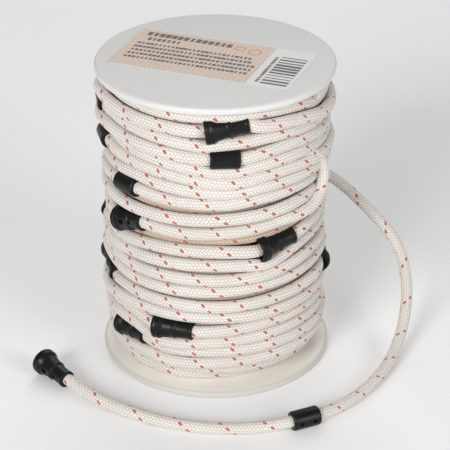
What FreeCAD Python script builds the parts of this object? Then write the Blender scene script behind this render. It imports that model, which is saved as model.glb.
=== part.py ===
"""Reel of braided starter cord with moulded nipples on the cord, modelled in millimetres.

The reel stands on its bottom flange. +Z is the reel's axis and z = 0 is the surface it stands on.
The cord's outer layer is a stack of closed rings, each of two turns, with the turns' crowns in the
outline. The cord is sold as 4.5 mm and its loose braid measures 4.9 mm. The layers under it are one closed pack on the drum.
"""
import FreeCAD, Part
import math
import os
from FreeCAD import Vector

# ---- driving dimensions -------------------------------------------------------------------
CORD_D = 4.9
CORD_R = CORD_D / 2

FLANGE_R = 47.5
FLANGE_T = 3.0
FLANGE_EDGE = 1.3
REEL_H = 128.6

DRUM_R = 20.0
DRUM_WALL = 2.0
COLLAR_H = 9.0
COLLAR_WALL = 1.8
COLLAR_GAP = 0.1
SPINDLE_R = 8.0
HUB_R = 11.0
HUB_H = 12.0
FOOT_RECESS = 1.0
FOOT_RING_W = 5.0
FOOT_RIBS = 6
FOOT_RIB_W = 2.0

TURNS_IN_LAYER = 22
TURNS_IN_RING = 2
LAYER_CENTRE_R = 43.0
SET_BACK = (6.8, 2.8)
GROOVE_R = LAYER_CENTRE_R - CORD_R

BELL_LENGTH = 17.0
BELL_WIDE_R = 5.5
BELL_RIM_L = 3.2
BELL_WAIST_R = 3.9
BELL_WAIST_X = 9.4
BELL_NECK_R = 3.4
BELL_LIP_R = 3.6
BELL_LIP_L = 1.0
BELL_MOUTH_R = 4.1
BELL_MOUTH_L = 2.2
BELL_AXIS_R = 41.8

SLEEVE_LENGTH = 11.6
SLEEVE_R = 3.9
SLEEVE_EDGE = 0.7
SLEEVE_AXIS_R = 43.3

EYE_R = 0.75
EYE_APART = 5.4

LABEL_W = 75.0
LABEL_H = 37.0
LABEL_T = 0.12
LABEL_CORNER = 2.0
LABEL_TURN = -21.0
LABEL_CENTRE = (-1.1, 0.0)

# Nipples in the outer layer: node, place round the reel in degrees (0 is +X, -90 the front),
# height, rise of its axis per millimetre towards growing angle, and the angle that its eyes are
# turned from outwards to upwards.
BELLS = (
    ("bell_front_top", -84, 118.4, 0.13, 160),
    ("bell_left_upper", -141.7, 71.0, 0.28, 0),
    ("bell_left_middle", -171, 41.5, -0.30, 0),
    ("bell_left_low", -142, 20.4, 0.05, 170),
    ("bell_front_low", -113, 28.5, 0.03, -45),
    ("bell_front_middle", -56, 65.5, 0.12, 165),
    ("bell_right_middle", -1, 42.5, 0.06, 0),
    ("bell_back_upper", 128, 98.0, 0.04, 20),
    ("bell_back_middle", 84, 52.0, -0.05, 0),
    ("bell_back_low", 150, 22.0, 0.04, -30),
)
SLEEVES = (
    ("sleeve_front_upper", -85, 106.2, -0.02, 165),
    ("sleeve_left_top", -171, 115.0, -0.12, 180),
    ("sleeve_left_upper", -167, 100.5, 0.05, 180),
    ("sleeve_left_centre", -140.5, 87.8, 0.06, 160),
    ("sleeve_back_top", 96, 113.0, 0.04, 0),
    ("sleeve_back_right", 33, 92.0, -0.06, 30),
    ("sleeve_back_centre", 121, 72.0, 0.05, 0),
    ("sleeve_back_left", 170, 60.0, -0.04, -20),
    ("sleeve_back_low", 62, 19.2, 0.03, 0),
)

# Free end of the cord: it leaves the winding at the back right, comes down to the floor and
# curls round the front of the reel to a last bell. Corners of the route, from reel to end.
CORD_ROUTE = (
    (14.0, 41.0, 69.5),
    (33.0, 36.5, 67.0),
    (50.5, 33.0, 60.0),
    (65.5, 28.0, 47.0),
    (78.5, 20.0, 34.5),
    (82.0, 8.0, 20.5),
    (79.0, -8.0, 8.5),
    (72.0, -25.0, 2.8),
    (62.5, -42.0, 2.45),
    (50.0, -56.5, 2.8),
    (35.5, -67.0, 4.6),
    (16.0, -71.5, 2.8),
    (-8.5, -70.5, 2.45),
    (-32.0, -62.0, 2.8),
    (-54.0, -47.0, 3.7),
    (-70.0, -29.0, 5.7),
)
SLEEVE_CORNER = 10
ARC_SHARE = 0.45


# ---- helpers ------------------------------------------------------------------------------
def revolve_outline(points, axis=Vector(0, 0, 1)):
    """Turn a closed outline of (radius, height) points in the XZ plane round Z."""
    wire = Part.makePolygon([Vector(r, 0, h) for r, h in points + [points[0]]])
    return Part.Face(wire).revolve(Vector(0, 0, 0), axis, 360)


def disc(radius, z_low, z_high):
    return Part.makeCylinder(radius, z_high - z_low, Vector(0, 0, z_low))


def ring(outer, inner, z_low, z_high):
    return disc(outer, z_low, z_high).cut(disc(inner, z_low, z_high))


def round_edges_at(shape, radius, fillet):
    """Fillet the circular edges that lie at one radius from the Z axis."""
    chosen = []
    for edge in shape.Edges:
        curve = edge.Curve
        if isinstance(curve, Part.Circle) and abs(curve.Radius - radius) < 0.01:
            chosen.append(edge)
    return shape.makeFillet(fillet, chosen)


def place(shape, theta_deg, axis_r, height, rise, eyes_deg):
    """Lay a piece made along +X, centred on its middle, tangent to the winding."""
    theta = math.radians(theta_deg)
    eyes = math.radians(eyes_deg)
    along = Vector(-math.sin(theta), math.cos(theta), rise).normalize()
    outward = Vector(math.cos(theta), math.sin(theta), 0)
    upward = outward.cross(along)
    centre = outward * axis_r + Vector(0, 0, height)
    facing = outward * math.cos(eyes) + upward * math.sin(eyes)
    square = upward * math.cos(eyes) - outward * math.sin(eyes)
    return to_frame(shape, centre, along, facing, square)


def to_frame(shape, centre, along, outward, upward):
    matrix = FreeCAD.Matrix(
        along.x, upward.x, outward.x, centre.x,
        along.y, upward.y, outward.y, centre.y,
        along.z, upward.z, outward.z, centre.z,
        0, 0, 0, 1)
    moved = shape.copy()
    moved.Placement = FreeCAD.Placement(matrix)
    return moved


# ---- reel ---------------------------------------------------------------------------------
def plain_flange(z_low, z_high):
    return round_edges_at(disc(FLANGE_R, z_low, z_high), FLANGE_R, FLANGE_EDGE)


def locating_collar(z_low, z_high):
    outer = DRUM_R - DRUM_WALL - COLLAR_GAP
    return ring(outer, outer - COLLAR_WALL, z_low, z_high)


def bottom_flange():
    """Flange with a spindle hub, a collar inside the drum and a ribbed recess underneath."""
    body = plain_flange(0, FLANGE_T)
    body = body.fuse(disc(HUB_R, 0, HUB_H))
    body = body.fuse(locating_collar(FLANGE_T, COLLAR_H))
    body = body.cut(disc(SPINDLE_R, 0, HUB_H))
    recess = ring(FLANGE_R - FOOT_RING_W, HUB_R + FOOT_RING_W / 2, 0, FOOT_RECESS)
    for number in range(FOOT_RIBS):
        rib = Part.makeBox(FLANGE_R, FOOT_RIB_W, FOOT_RECESS, Vector(0, -FOOT_RIB_W / 2, 0))
        rib.rotate(Vector(0, 0, 0), Vector(0, 0, 1), 360 / FOOT_RIBS * number)
        recess = recess.cut(rib)
    return body.cut(recess).removeSplitter()


def top_flange():
    """Flange closed in the middle, where the label sits, with a collar inside the drum."""
    low = REEL_H - FLANGE_T
    body = plain_flange(low, REEL_H)
    return body.fuse(locating_collar(low - COLLAR_H + FLANGE_T, low)).removeSplitter()


def drum_tube():
    return ring(DRUM_R, DRUM_R - DRUM_WALL, FLANGE_T, REEL_H - FLANGE_T)


def label():
    """Printed sheet on the top flange, with rounded corners."""
    sheet = Part.makeBox(LABEL_W, LABEL_H, LABEL_T, Vector(-LABEL_W / 2, -LABEL_H / 2, 0))
    upright = [edge for edge in sheet.Edges if abs(edge.tangentAt(edge.FirstParameter).z) > 0.9]
    sheet = sheet.makeFillet(LABEL_CORNER, upright)
    sheet.rotate(Vector(0, 0, 0), Vector(0, 0, 1), LABEL_TURN)
    sheet.translate(Vector(LABEL_CENTRE[0], LABEL_CENTRE[1], REEL_H))
    return sheet


# ---- winding ------------------------------------------------------------------------------
TURN_PITCH = (REEL_H - 2 * FLANGE_T) / TURNS_IN_LAYER


def turn_centre(number):
    """Radius and height of one turn of the outer layer; the lowest turns are set back."""
    back = SET_BACK[number] if number < len(SET_BACK) else 0.0
    return LAYER_CENTRE_R - back, FLANGE_T + TURN_PITCH * (number + 0.5)


def crown_edge(number):
    """Outer half of a turn's section, from its lower to its upper side."""
    r, z = turn_centre(number)
    half = TURN_PITCH / 2
    return Part.Arc(Vector(r, 0, z - half), Vector(r + CORD_R, 0, z), Vector(r, 0, z + half)).toShape()


def ring_inside_r(first):
    """Inside radius of the ring whose lowest turn is first."""
    return turn_centre(first)[0] - CORD_R


def winding_ring(first, last):
    """Closed ring of the turns first to last - 1, from the inner pack to their crowns."""
    edges = []
    corner = None
    for number in range(first, last):
        edge = crown_edge(number)
        low = edge.valueAt(edge.FirstParameter)
        if corner is not None and corner.distanceToPoint(low) > 1e-6:
            edges.append(Part.makeLine(corner, low))
        edges.append(edge)
        corner = edge.valueAt(edge.LastParameter)
    start = edges[0].valueAt(edges[0].FirstParameter)
    inside = ring_inside_r(first)
    back = [corner, Vector(inside, 0, corner.z), Vector(inside, 0, start.z), start]
    for begin, end in zip(back, back[1:]):
        edges.append(Part.makeLine(begin, end))
    return Part.Face(Part.Wire(edges)).revolve(Vector(0, 0, 0), Vector(0, 0, 1), 360)


def inner_pack():
    """All layers under the outer one, between the drum and the outer layer's inside."""
    step = FLANGE_T + TURN_PITCH * TURNS_IN_RING
    top = REEL_H - FLANGE_T
    outline = [
        (DRUM_R, FLANGE_T), (ring_inside_r(0), FLANGE_T), (ring_inside_r(0), step),
        (GROOVE_R, step), (GROOVE_R, top), (DRUM_R, top)]
    return revolve_outline(outline)


# ---- nipples ------------------------------------------------------------------------------
def along_x(outline):
    """Turn an outline of (position along the axis, radius) round X."""
    wire = Part.makePolygon([Vector(x, 0, r) for x, r in outline + [outline[0]]])
    return Part.Face(wire).revolve(Vector(0, 0, 0), Vector(1, 0, 0), 360)


def bell_outline():
    """Half section of a bell: rim, cone, waist ring, neck and lip, wide end first."""
    half = BELL_LENGTH / 2
    rim_end = BELL_RIM_L - half
    waist = BELL_WAIST_X - half
    lip = half - BELL_LIP_L
    return [
        (-half, 0), (-half, BELL_WIDE_R - 0.5), (-half + 0.5, BELL_WIDE_R),
        (rim_end - 0.4, BELL_WIDE_R), (rim_end, BELL_WIDE_R - 0.5),
        (waist - 1.0, BELL_WAIST_R - 0.1), (waist - 0.6, BELL_WAIST_R + 0.15),
        (waist + 0.6, BELL_WAIST_R + 0.15), (waist + 1.0, BELL_NECK_R),
        (lip, BELL_NECK_R), (lip + 0.2, BELL_LIP_R), (half, BELL_LIP_R), (half, 0)]


def bell_envelope():
    return along_x(bell_outline())


def bore(length):
    return Part.makeCylinder(CORD_R, length, Vector(-length / 2, 0, 0), Vector(1, 0, 0))


def eye(x):
    return Part.makeCylinder(EYE_R, BELL_WIDE_R + 1, Vector(x, 0, CORD_R - 0.2), Vector(0, 0, 1))


def bell():
    """Bell nipple along X with the cord's bore, a flared mouth and two inspection eyes."""
    half = BELL_LENGTH / 2
    mouth = Part.makeCone(BELL_MOUTH_R, CORD_R, BELL_MOUTH_L, Vector(-half, 0, 0), Vector(1, 0, 0))
    body = bell_envelope().cut(bore(BELL_LENGTH)).cut(mouth)
    return body.cut(eye(-1.4)).cut(eye(3.0))


def sleeve_envelope():
    half = SLEEVE_LENGTH / 2
    edge = SLEEVE_EDGE
    return along_x([
        (-half, 0), (-half, SLEEVE_R - edge), (-half + edge * 0.3, SLEEVE_R - edge * 0.3),
        (-half + edge, SLEEVE_R), (half - edge, SLEEVE_R),
        (half - edge * 0.3, SLEEVE_R - edge * 0.3), (half, SLEEVE_R - edge), (half, 0)])


def sleeve():
    """Sleeve nipple along X with the cord's bore and two eyes."""
    body = sleeve_envelope().cut(bore(SLEEVE_LENGTH))
    return body.cut(eye(-EYE_APART / 2)).cut(eye(EYE_APART / 2))


def wound_nipples():
    """Placed nipples of the outer layer and the pockets that they need in the winding."""
    placed = {}
    pockets = []
    kinds = (
        (BELLS, bell(), bell_envelope().cut(bore(BELL_LENGTH)), BELL_AXIS_R),
        (SLEEVES, sleeve(), sleeve_envelope().cut(bore(SLEEVE_LENGTH)), SLEEVE_AXIS_R),
    )
    for table, piece, pocket, axis_r in kinds:
        for node, theta, height, rise, eyes in table:
            placed[node] = place(piece, theta, axis_r, height, rise, eyes)
            pockets.append(place(pocket, theta, axis_r, height, rise, 0))
    return placed, pockets


def cut_pockets(solid, pockets):
    """Cut the pockets that reach a solid, and keep the one body that is left round them."""
    reached = [pocket for pocket in pockets if solid.BoundBox.intersect(pocket.BoundBox)]
    if not reached:
        return solid
    left = solid.cut(Part.makeCompound(reached))
    return max(left.Solids, key=lambda body: body.Volume)


# ---- free cord ----------------------------------------------------------------------------
def rounded_path(points):
    """Straight runs joined by tangent arcs, each as large as its two runs allow."""
    edges = []
    radii = []
    start = points[0]
    for before, corner, after in zip(points, points[1:], points[2:]):
        back = (before - corner).normalize()
        ahead = (after - corner).normalize()
        half_turn = (math.pi - back.getAngle(ahead)) / 2
        shorter = min(before.distanceToPoint(corner), corner.distanceToPoint(after))
        reach = ARC_SHARE * shorter
        radius = reach / math.tan(half_turn)
        radii.append(radius)
        arc_in = corner + back * reach
        arc_out = corner + ahead * reach
        inward = (back + ahead).normalize()
        middle = corner + inward * (radius / math.cos(half_turn) - radius)
        edges.append(Part.makeLine(start, arc_in))
        edges.append(Part.Arc(arc_in, middle, arc_out).toShape())
        start = arc_out
    edges.append(Part.makeLine(start, points[-1]))
    return Part.Wire(edges), radii


def free_cord():
    """Tube of the free end, swept along its rounded route."""
    points = [Vector(*corner) for corner in CORD_ROUTE]
    path, radii = rounded_path(points)
    direction = points[1] - points[0]
    section = Part.Wire(Part.makeCircle(CORD_R, points[0], direction))
    tube = path.makePipeShell([section], True, True)
    expected = math.pi * CORD_R ** 2 * path.Length
    print("free cord: length %.1f mm, volume ratio %.4f" % (path.Length, tube.Volume / expected))
    print("arc radii:", " ".join("%.1f" % radius for radius in radii))
    return tube


def lay_on_cord(shape, wide, narrow):
    """Lay a piece made along X with its ends towards two points, its eyes away from the reel."""
    along = (narrow - wide).normalize()
    centre = (wide + narrow) * 0.5
    away = Vector(centre.x, centre.y, 0)
    outward = (away - along * away.dot(along)).normalize()
    return to_frame(shape, centre, along, outward, outward.cross(along))


def free_sleeve():
    """Sleeve at the corner of the route in front of the reel, square to the corner's bisector."""
    before, corner, after = [Vector(*CORD_ROUTE[SLEEVE_CORNER + step]) for step in (-1, 0, 1)]
    along = ((after - corner).normalize() - (before - corner).normalize()).normalize()
    middle = arc_middle(before, corner, after)
    return lay_on_cord(sleeve(), middle - along, middle + along)


def arc_middle(before, corner, after):
    back = (before - corner).normalize()
    ahead = (after - corner).normalize()
    half_turn = (math.pi - back.getAngle(ahead)) / 2
    radius = ARC_SHARE * min(before.distanceToPoint(corner), corner.distanceToPoint(after))
    radius = radius / math.tan(half_turn)
    return corner + (back + ahead).normalize() * (radius / math.cos(half_turn) - radius)


def free_bell():
    """Bell at the end of the cord, its wide end at the cord's cut end."""
    last, end = [Vector(*corner) for corner in CORD_ROUTE[-2:]]
    outward = (end - last).normalize()
    mouth = end + outward * BELL_MOUTH_L
    narrow = mouth - outward * BELL_LENGTH
    return lay_on_cord(bell(), mouth, narrow)


# ---- build --------------------------------------------------------------------------------
def build():
    """Make every node and write one STEP file for each."""
    nodes, pockets = wound_nipples()
    nodes["bottom_flange"] = bottom_flange()
    nodes["top_flange"] = top_flange()
    nodes["drum_tube"] = drum_tube()
    nodes["label"] = label()
    nodes["winding_inner"] = cut_pockets(inner_pack(), pockets)
    for first in range(0, TURNS_IN_LAYER, TURNS_IN_RING):
        node = "winding_outer_%02d" % (first // TURNS_IN_RING + 1)
        nodes[node] = cut_pockets(winding_ring(first, first + TURNS_IN_RING), pockets)
    nodes["free_cord"] = free_cord()
    nodes["free_sleeve"] = free_sleeve()
    nodes["free_bell"] = free_bell()
    os.makedirs("parts", exist_ok=True)
    for node, shape in sorted(nodes.items()):
        box = shape.BoundBox
        print("%-22s solids %d valid %s volume %9.1f  x %.1f..%.1f y %.1f..%.1f z %.1f..%.1f" % (
            node, len(shape.Solids), shape.isValid(), shape.Volume,
            box.XMin, box.XMax, box.YMin, box.YMax, box.ZMin, box.ZMax))
        shape.exportStep("parts/%s.step" % node)


build()
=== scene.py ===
"""Reel of braided starter cord, with moulded bells and sleeves threaded on the cord.

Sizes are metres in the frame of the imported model: +Z is the reel's axis and z = 0 the surface that
the reel stands on. Angles round the reel are degrees from +X, so the front of the reel is at -90.
"""
import logging
import math
from dataclasses import dataclass
from enum import Enum

import bmesh
import bpy
import numpy as np
from mathutils import Matrix, Vector


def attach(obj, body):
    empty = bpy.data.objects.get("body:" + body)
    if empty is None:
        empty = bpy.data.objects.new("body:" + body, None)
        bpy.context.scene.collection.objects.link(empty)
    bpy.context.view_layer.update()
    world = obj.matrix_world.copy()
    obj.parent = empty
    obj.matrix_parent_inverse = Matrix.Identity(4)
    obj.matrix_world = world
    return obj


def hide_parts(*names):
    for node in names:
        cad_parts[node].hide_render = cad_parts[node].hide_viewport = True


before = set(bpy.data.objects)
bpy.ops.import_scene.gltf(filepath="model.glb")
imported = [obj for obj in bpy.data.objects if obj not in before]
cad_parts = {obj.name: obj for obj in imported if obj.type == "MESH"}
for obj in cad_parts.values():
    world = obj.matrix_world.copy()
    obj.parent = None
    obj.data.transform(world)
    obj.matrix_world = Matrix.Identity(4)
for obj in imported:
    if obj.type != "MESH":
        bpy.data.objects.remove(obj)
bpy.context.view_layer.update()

LOG = logging.getLogger("cord_reel")

MM = 0.001
CORD_DIAMETER = 4.9 * MM
CORD_RADIUS = CORD_DIAMETER / 2
FLANGE_RADIUS = 47.5 * MM
FLANGE_THICKNESS = 3.0 * MM
REEL_HEIGHT = 128.6 * MM
SEED = 11


class Slot(Enum):
    """The record's material slots for the pieces here; the drum keeps its CAD shape and slot."""

    UPPER = "reel_plastic_upper"
    LOWER = "reel_plastic_lower"
    LABEL = "label_sheet"
    INNER_BRAID = "cord_braid_inner"
    BRAID = "cord_braid"
    NIPPLE = "nipple_black"
    FREE_BRAID = "cord_braid_free"


class NippleKind(Enum):
    """The two mouldings that are threaded on the cord."""

    BELL = "bell"
    SLEEVE = "sleeve"


# ---- node trees ----------------------------------------------------------------------------
class NodeWork:
    """A node tree being put together."""

    def __init__(self, tree: bpy.types.NodeTree) -> None:
        """Take up a tree.

        Args:
            tree: the tree that gets the nodes.
        """
        self.tree = tree

    def node(self, kind: str, inputs: dict[object, object] | None = None,
             **settings: object) -> bpy.types.Node:
        """Add a node.

        Args:
            kind: the node's type name.
            inputs: a source socket or a plain value for each of its inputs.
            settings: its properties by name.

        Returns:
            The new node.
        """
        made = self.tree.nodes.new(kind)
        for key, value in settings.items():
            setattr(made, key, value)
        self.feed(made, inputs or {})
        return made

    def feed(self, made: bpy.types.Node, inputs: dict[object, object]) -> None:
        """Link or set a node's inputs."""
        for key, value in inputs.items():
            if isinstance(value, bpy.types.NodeSocket):
                self.tree.links.new(value, made.inputs[key])
            else:
                made.inputs[key].default_value = value

    def maths(self, operation: str, *values: object) -> bpy.types.NodeSocket:
        """One Math node on sockets or numbers."""
        return self.node("ShaderNodeMath", dict(enumerate(values)), operation=operation).outputs[0]

    def vector(self, **axes: object) -> bpy.types.NodeSocket:
        """A vector from its X, Y and Z."""
        return self.node("ShaderNodeCombineXYZ", axes).outputs[0]


# ---- node materials ------------------------------------------------------------------------
class MaterialSheet(NodeWork):
    """A node material being put together round one Principled shader."""

    def __init__(self, name: str) -> None:
        """Start an empty material.

        Args:
            name: the material's name.
        """
        self.material = bpy.data.materials.new(name)
        self.material.use_nodes = True
        super().__init__(self.material.node_tree)
        self.shader = self.tree.nodes["Principled BSDF"]

    def mix(self, share: object, first: object, second: object, kind: str = "RGBA",
            blend: str = "MIX") -> bpy.types.NodeSocket:
        """Blend of two colours or two numbers.

        Args:
            share: how much of the second, a socket or a number.
            first: the value at 0.
            second: the value at 1.
            kind: "RGBA" for colours, "FLOAT" for numbers.
            blend: how two colours are blended.

        Returns:
            The result's socket.
        """
        made = self.node("ShaderNodeMix", data_type=kind, blend_type=blend)
        self.feed(made, {"Factor": share, "A": first, "B": second})
        return made.outputs["Result"]

    def choose(self, second_wins: object, first: object, second: object) -> bpy.types.NodeSocket:
        """One of two numbers: the second where the switch is 1, else the first."""
        return self.mix(second_wins, first, second, "FLOAT")

    def noise(self, vector: object, scale: float, detail: float = 3.0) -> bpy.types.NodeSocket:
        """Noise on given coordinates, from 0 to 1."""
        return self.node("ShaderNodeTexNoise", {
            "Vector": vector, "Scale": scale, "Detail": detail}).outputs["Fac"]

    def spread(self, value: object, low: float, high: float) -> bpy.types.NodeSocket:
        """A 0 to 1 value mapped to the range low to high."""
        return self.node("ShaderNodeMapRange", {
            "Value": value, "To Min": low, "To Max": high}).outputs["Result"]

    def object_place(self) -> bpy.types.NodeSocket:
        """Object coordinates."""
        return self.node("ShaderNodeTexCoord").outputs["Object"]

    def bump(self, height: object, distance: float, strength: float = 1.0) -> None:
        """Raise the shader's surface by a height of 0 to 1 times a distance in metres."""
        made = self.node("ShaderNodeBump", {"Strength": strength, "Distance": distance, "Height": height})
        self.set_shader(Normal=made.outputs["Normal"])

    def set_shader(self, **values: object) -> None:
        """Set or link the shader's inputs, whose names are given with underscores."""
        self.feed(self.shader, {key.replace("_", " "): value for key, value in values.items()})


@dataclass(frozen=True)
class ReelPlastic:
    """Milky injection-moulded polypropylene of the reel."""

    name: str
    colour: tuple[float, float, float, float]
    shade: tuple[float, float, float, float]
    # rim: colour blended in at the rim edge that paints light and shade there: painted shade on the bottom
    # flange, a faint painted highlight on the top one.
    rim: tuple[float, float, float, float]
    roughness: float = 0.46

    def make(self) -> bpy.types.Material:
        """Build the material: faint flow clouds, painted rim light and shade in a band at the edge, handling
        marks and a fine grain.
        """
        sheet = MaterialSheet(self.name)
        place = sheet.object_place()
        clouds = sheet.noise(place, 38.0, 4.0)
        marks = sheet.noise(place, 420.0, 5.0)
        cloudy = sheet.mix(sheet.spread(clouds, 0.0, 0.55), self.colour, self.shade)
        level = sheet.node("ShaderNodeVectorMath", {0: place, 1: (1.0, 1.0, 0.0)}, operation="MULTIPLY")
        reach = sheet.node("ShaderNodeVectorMath", {0: level.outputs[0]}, operation="LENGTH")
        # Painted rim light and shade: the outermost 1.6 mm of radius is blended towards the rim colour.
        rim_light_and_shade_mask = sheet.node("ShaderNodeMapRange", {
            "Value": reach.outputs["Value"], "From Min": FLANGE_RADIUS - 1.6 * MM,
            "From Max": FLANGE_RADIUS - 0.4 * MM}, clamp=True)
        colour = sheet.mix(rim_light_and_shade_mask.outputs["Result"], cloudy, self.rim)
        rough = sheet.spread(marks, self.roughness - 0.08, self.roughness + 0.1)
        sheet.set_shader(Base_Color=colour, Roughness=rough, Subsurface_Weight=0.22, IOR=1.49)
        sheet.set_shader(Subsurface_Scale=0.004, Subsurface_Radius=(1.0, 0.85, 0.7))
        grain = sheet.noise(place, 2600.0, 2.0)
        sheet.bump(sheet.maths("ADD", grain, sheet.maths("MULTIPLY", clouds, 2.0)), 0.00005, 0.5)
        return sheet.material


@dataclass(frozen=True)
class NipplePlastic:
    """Black satin polyamide of the bells and sleeves."""

    name: str = "black_polyamide"
    colour: tuple[float, float, float, float] = (0.004, 0.0038, 0.0036, 1)
    worn: tuple[float, float, float, float] = (0.014, 0.0135, 0.013, 1)

    def make(self) -> bpy.types.Material:
        """Build the material: dusty wear in patches, uneven gloss and a fine spark-eroded grain."""
        sheet = MaterialSheet(self.name)
        place = sheet.object_place()
        patches = sheet.noise(place, 300.0, 6.0)
        wear = sheet.maths("POWER", patches, 3.0)
        grain = sheet.noise(place, 5200.0, 2.0)
        sheet.set_shader(Base_Color=sheet.mix(wear, self.colour, self.worn))
        sheet.set_shader(Roughness=sheet.spread(patches, 0.25, 0.5), Specular_IOR_Level=0.24)
        sheet.bump(sheet.maths("ADD", grain, sheet.maths("MULTIPLY", patches, 1.5)), 0.00004, 0.6)
        return sheet.material


@dataclass(frozen=True)
class BraidPattern:
    """How the strands of the cord's braided cover run over and under each other.

    The pattern is read from two running numbers that grow by one from strand to strand:
    one across the strands that climb to the right, one across those that climb to the left.
    """

    pitch: float = 16.2 * MM
    strands_each_way: int = 12
    float_length: int = 2
    tracer_strand: int = 3

    def height(self, length: np.ndarray, turn: np.ndarray) -> np.ndarray:
        """Relief of the cover, from 0 in the gaps to 1 on the crowns.

        Args:
            length: pitches along the cord.
            turn: place round the cord, 0 to 1.

        Returns:
            Heights in the shape of the inputs.
        """
        right = self.strands_each_way * (length - turn)
        left = self.strands_each_way * (length + turn)
        repeat = 2 * self.float_length
        right_on_top = np.mod(np.floor(right) - np.floor(left), repeat) < self.float_length
        across = np.where(right_on_top, np.mod(right, 1.0), np.mod(left, 1.0))
        along_right = np.mod(left - np.floor(right) + 1.0, repeat) / self.float_length
        along_left = np.mod(right - np.floor(left) - 2.0, repeat) / self.float_length
        along = np.clip(np.where(right_on_top, along_right, along_left), 0.0, 1.0)
        crown = 1.0 - (2.0 * across - 1.0) ** 2
        return np.sqrt(np.clip(crown * np.sin(np.pi * along), 0.0, 1.0))


@dataclass(frozen=True)
class CordBraid:
    """White polyester braid with one red tracer strand, drawn on the tube's own UV map."""

    name: str
    thread: tuple[float, float, float, float] = (0.95, 0.925, 0.885, 1)
    # gap: colour of the painted shade in the hollows between the strands; random soiling also tints the
    # threads towards it.
    gap: tuple[float, float, float, float] = (0.44, 0.36, 0.29, 1)
    tracer: tuple[float, float, float, float] = (0.60, 0.10, 0.07, 1)
    pattern: BraidPattern = BraidPattern()

    def make(self) -> bpy.types.Material:
        """Build the material: strands, painted shade in the gaps between them, filaments, tracer and soft
        sheen.
        """
        sheet = MaterialSheet(self.name)
        strands = float(self.pattern.strands_each_way)
        repeat = 2.0 * self.pattern.float_length
        uv = sheet.node("ShaderNodeUVMap", uv_map="braid").outputs["UV"]
        split = sheet.node("ShaderNodeSeparateXYZ", {0: uv})
        along, turn = split.outputs[0], split.outputs[1]
        right = sheet.maths("MULTIPLY", sheet.maths("SUBTRACT", along, turn), strands)
        left = sheet.maths("MULTIPLY", sheet.maths("ADD", along, turn), strands)
        right_strand = sheet.maths("FLOOR", right)
        left_strand = sheet.maths("FLOOR", left)
        order = sheet.maths("FLOORED_MODULO", sheet.maths("SUBTRACT", right_strand, left_strand), repeat)
        on_top = sheet.maths("LESS_THAN", order, float(self.pattern.float_length) - 0.5)
        right_share = sheet.maths("FRACT", right)
        left_share = sheet.maths("FRACT", left)
        across = sheet.choose(on_top, left_share, right_share)
        run_right = sheet.maths("ADD", sheet.maths("SUBTRACT", left, right_strand), 1.0)
        run_left = sheet.maths("SUBTRACT", sheet.maths("SUBTRACT", right, left_strand), 2.0)
        run = sheet.maths("FLOORED_MODULO", sheet.choose(on_top, run_left, run_right), repeat)
        arch = sheet.maths("SINE", sheet.maths("MULTIPLY", run, math.pi / self.pattern.float_length))
        middle = sheet.maths("SUBTRACT", sheet.maths("MULTIPLY", across, 2.0), 1.0)
        round_top = sheet.maths("SUBTRACT", 1.0, sheet.maths("POWER", sheet.maths("ABSOLUTE", middle), 2.4))
        raised = sheet.maths("MAXIMUM", sheet.maths("MULTIPLY", round_top, arch), 0.0)
        crown = sheet.maths("POWER", raised, 0.6)
        filament_place = sheet.vector(X=sheet.maths("MULTIPLY", across, 9.0),
                                      Y=sheet.maths("MULTIPLY", along, 8.0),
                                      Z=sheet.maths("MULTIPLY", order, 3.7))
        filaments = sheet.noise(filament_place, 1.0, 3.0)
        soiling = sheet.noise(sheet.object_place(), 55.0, 3.0)
        clean = sheet.mix(sheet.spread(soiling, 0.0, 0.32), self.thread, self.gap)
        is_tracer = sheet.maths("COMPARE", sheet.maths("FLOORED_MODULO", right_strand, strands),
                                float(self.pattern.tracer_strand), 0.5)
        dyed = sheet.mix(sheet.maths("MULTIPLY", is_tracer, on_top), clean, self.tracer)
        # Painted shade: the hollows where the strands' crowns fall away are darkened towards the gap colour.
        hollow = sheet.maths("POWER", sheet.maths("SUBTRACT", 1.0, crown), 1.6)
        shaded = sheet.mix(sheet.maths("MULTIPLY", hollow, 0.95), dyed, self.gap)
        streaked = sheet.mix(0.22, shaded, filaments, blend="MULTIPLY")
        sheet.set_shader(Base_Color=streaked, Roughness=0.72)
        sheet.set_shader(Sheen_Weight=0.25, Sheen_Roughness=0.4, Subsurface_Weight=0.12)
        sheet.set_shader(Subsurface_Scale=0.0012, Subsurface_Radius=(1.0, 0.8, 0.6))
        relief = sheet.maths("ADD", crown, sheet.maths("MULTIPLY", filaments, 0.3))
        sheet.bump(relief, 0.00022, 0.7)
        return sheet.material


@dataclass(frozen=True)
class PlainPrint:
    """Ink or coated paper of the label, slightly uneven."""

    name: str
    colour: tuple[float, float, float, float]
    second: tuple[float, float, float, float]
    roughness: float = 0.5

    def make(self) -> bpy.types.Material:
        """Build the material: fine mottling of two colours."""
        sheet = MaterialSheet(self.name)
        mottle = sheet.noise(sheet.object_place(), 900.0, 4.0)
        sheet.set_shader(Base_Color=sheet.mix(mottle, self.colour, self.second))
        sheet.set_shader(Roughness=self.roughness)
        sheet.bump(mottle, 0.00001, 0.4)
        return sheet.material


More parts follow.
